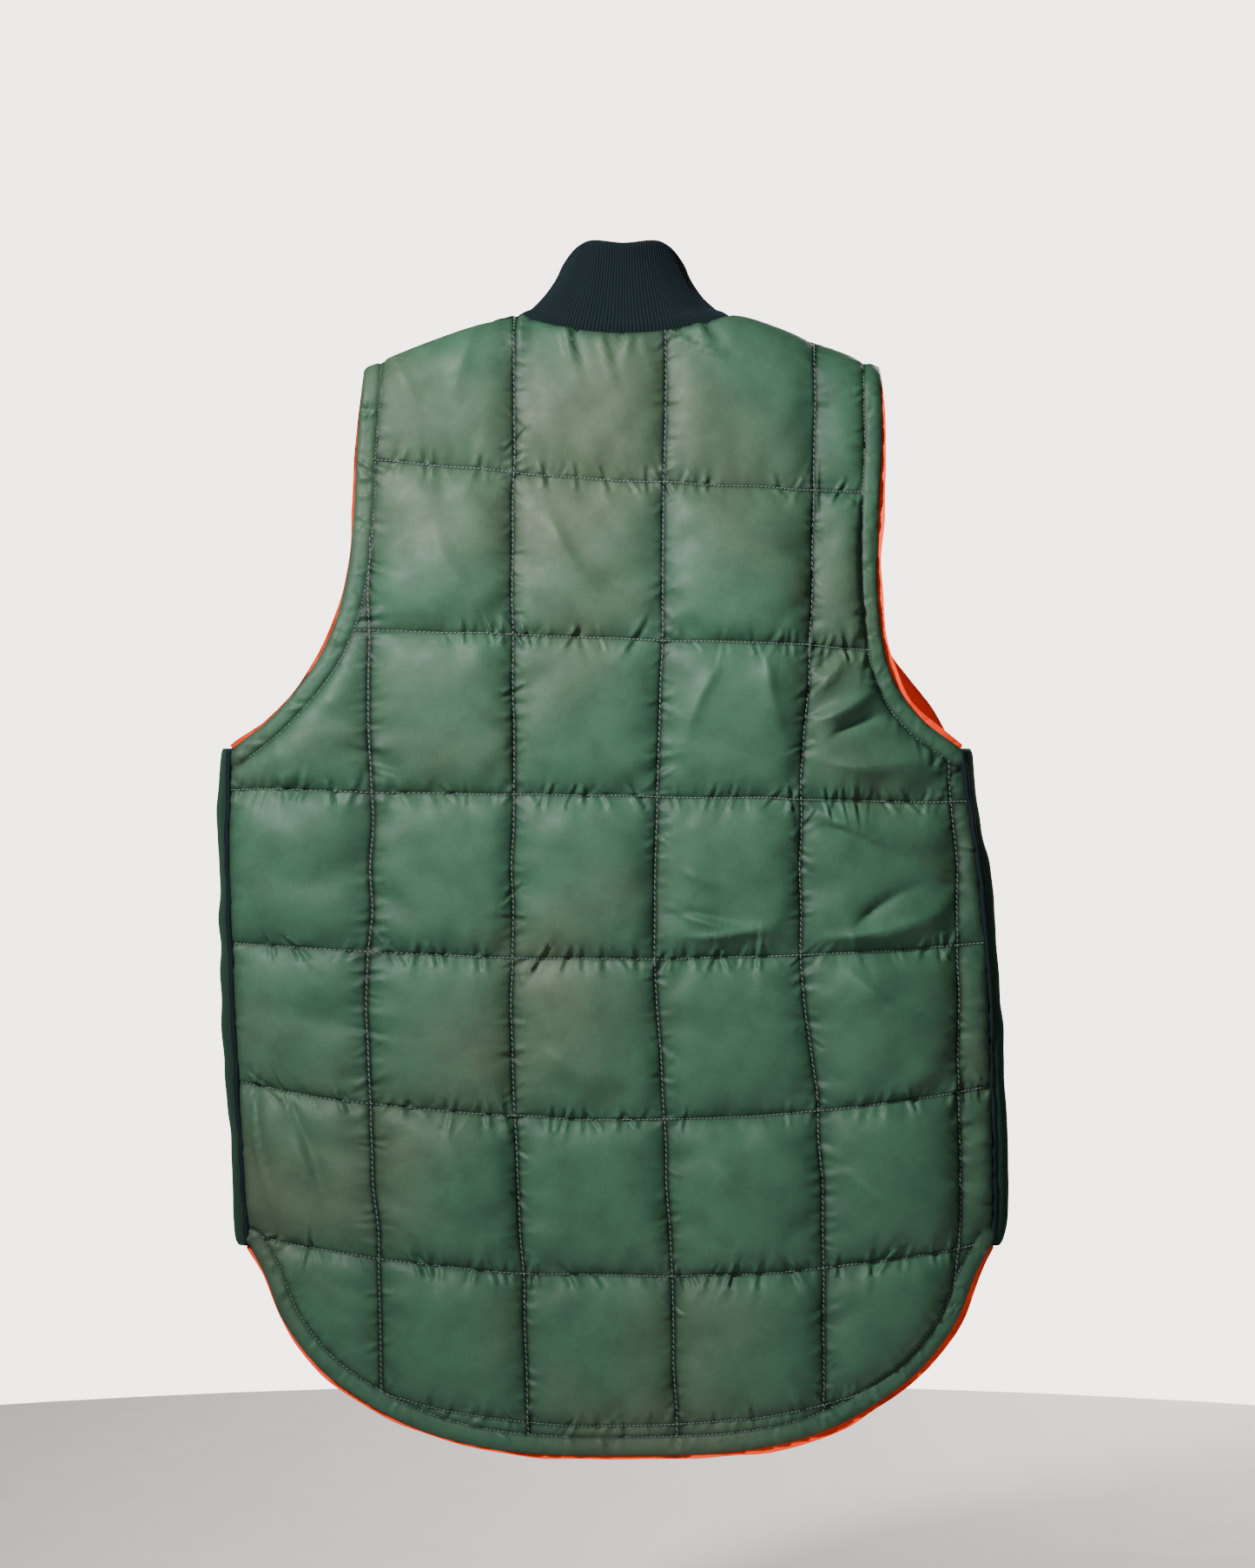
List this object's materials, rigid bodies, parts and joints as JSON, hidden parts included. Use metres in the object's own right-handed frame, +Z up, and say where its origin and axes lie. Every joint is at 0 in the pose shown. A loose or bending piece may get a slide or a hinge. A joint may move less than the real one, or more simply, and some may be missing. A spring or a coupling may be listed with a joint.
{
  "type": "quilted hunting vest",
  "caption": "Reversible quilted hunting vest with rib-knit collar and side panels, a separating front zipper, slanted hand pockets and a rounded drop tail.",
  "frame": {"origin": "level with the neck points, midway between front and back, under the shoulders where a hanger or the wearer's shoulders bear", "axes": "+Z up, -Y the way the vest's front faces, +Y out of its back, +X towards the wearer's left"},
  "size_m": [0.5048, 0.1339, 0.8047],
  "materials": {
    "green_nylon": "satin",
    "orange_nylon": "satin",
    "polyester_padding": "matte",
    "rib_knit": "matte",
    "zipper_tape": "matte",
    "zipper_brass": "satin"
  },
  "bodies": {
    "back": {"back_shell": "green_nylon", "back_batting": "polyester_padding", "back_lining": "orange_nylon", "front_left_side_shell": "green_nylon", "front_left_side_batting": "polyester_padding", "front_left_side_lining": "orange_nylon", "front_right_side_shell": "green_nylon", "front_right_side_batting": "polyester_padding", "front_right_side_lining": "orange_nylon", "side_rib_left": "rib_knit", "side_rib_right": "rib_knit", "collar": "rib_knit"},
    "front_left": {"front_left_flap_shell": "green_nylon", "front_left_flap_batting": "polyester_padding", "front_left_flap_lining": "orange_nylon", "pocket_left": "green_nylon", "zipper_tape_left": "zipper_tape", "zipper_teeth_left": "zipper_brass", "zipper_top_stop_left": "zipper_brass", "zipper_retaining_box": "zipper_brass"},
    "front_right": {"front_right_flap_shell": "green_nylon", "front_right_flap_batting": "polyester_padding", "front_right_flap_lining": "orange_nylon", "pocket_right": "green_nylon", "zipper_tape_right": "zipper_tape", "zipper_teeth_right": "zipper_brass", "zipper_top_stop_right": "zipper_brass", "zipper_insertion_pin": "zipper_brass"},
    "slider": {"zipper_slider": "zipper_brass"},
    "pull_outer": {"zipper_pull_outer": "zipper_brass"},
    "pull_inner": {"zipper_pull_inner": "zipper_brass"}
  },
  "joints": [
    {"name": "open_front_left", "type": "hinge", "parent": "back", "child": "front_left", "pos_m": [0.02, -0.0338, 0], "axis": [-0.2836, 0.0169, 0.9588], "range_deg": [0, 75]},
    {"name": "open_front_right", "type": "hinge", "parent": "back", "child": "front_right", "pos_m": [-0.02, -0.0338, 0], "axis": [-0.2836, -0.0169, -0.9588], "range_deg": [0, 75]},
    {"name": "slide_zipper", "type": "slide", "parent": "front_left", "child": "slider", "axis": [0, 0.0328, 0.9995], "range_m": [0, 0.5625]},
    {"name": "lift_outer_pull", "type": "hinge", "parent": "slider", "child": "pull_outer", "pos_m": [0.0048, -0.05061, -0.64754], "axis": [-1, 0, 0], "range_deg": [0, 110]},
    {"name": "lift_inner_pull", "type": "hinge", "parent": "slider", "child": "pull_inner", "pos_m": [0.0048, -0.04102, -0.64785], "axis": [1, 0, 0], "range_deg": [0, 110]}
  ]
}
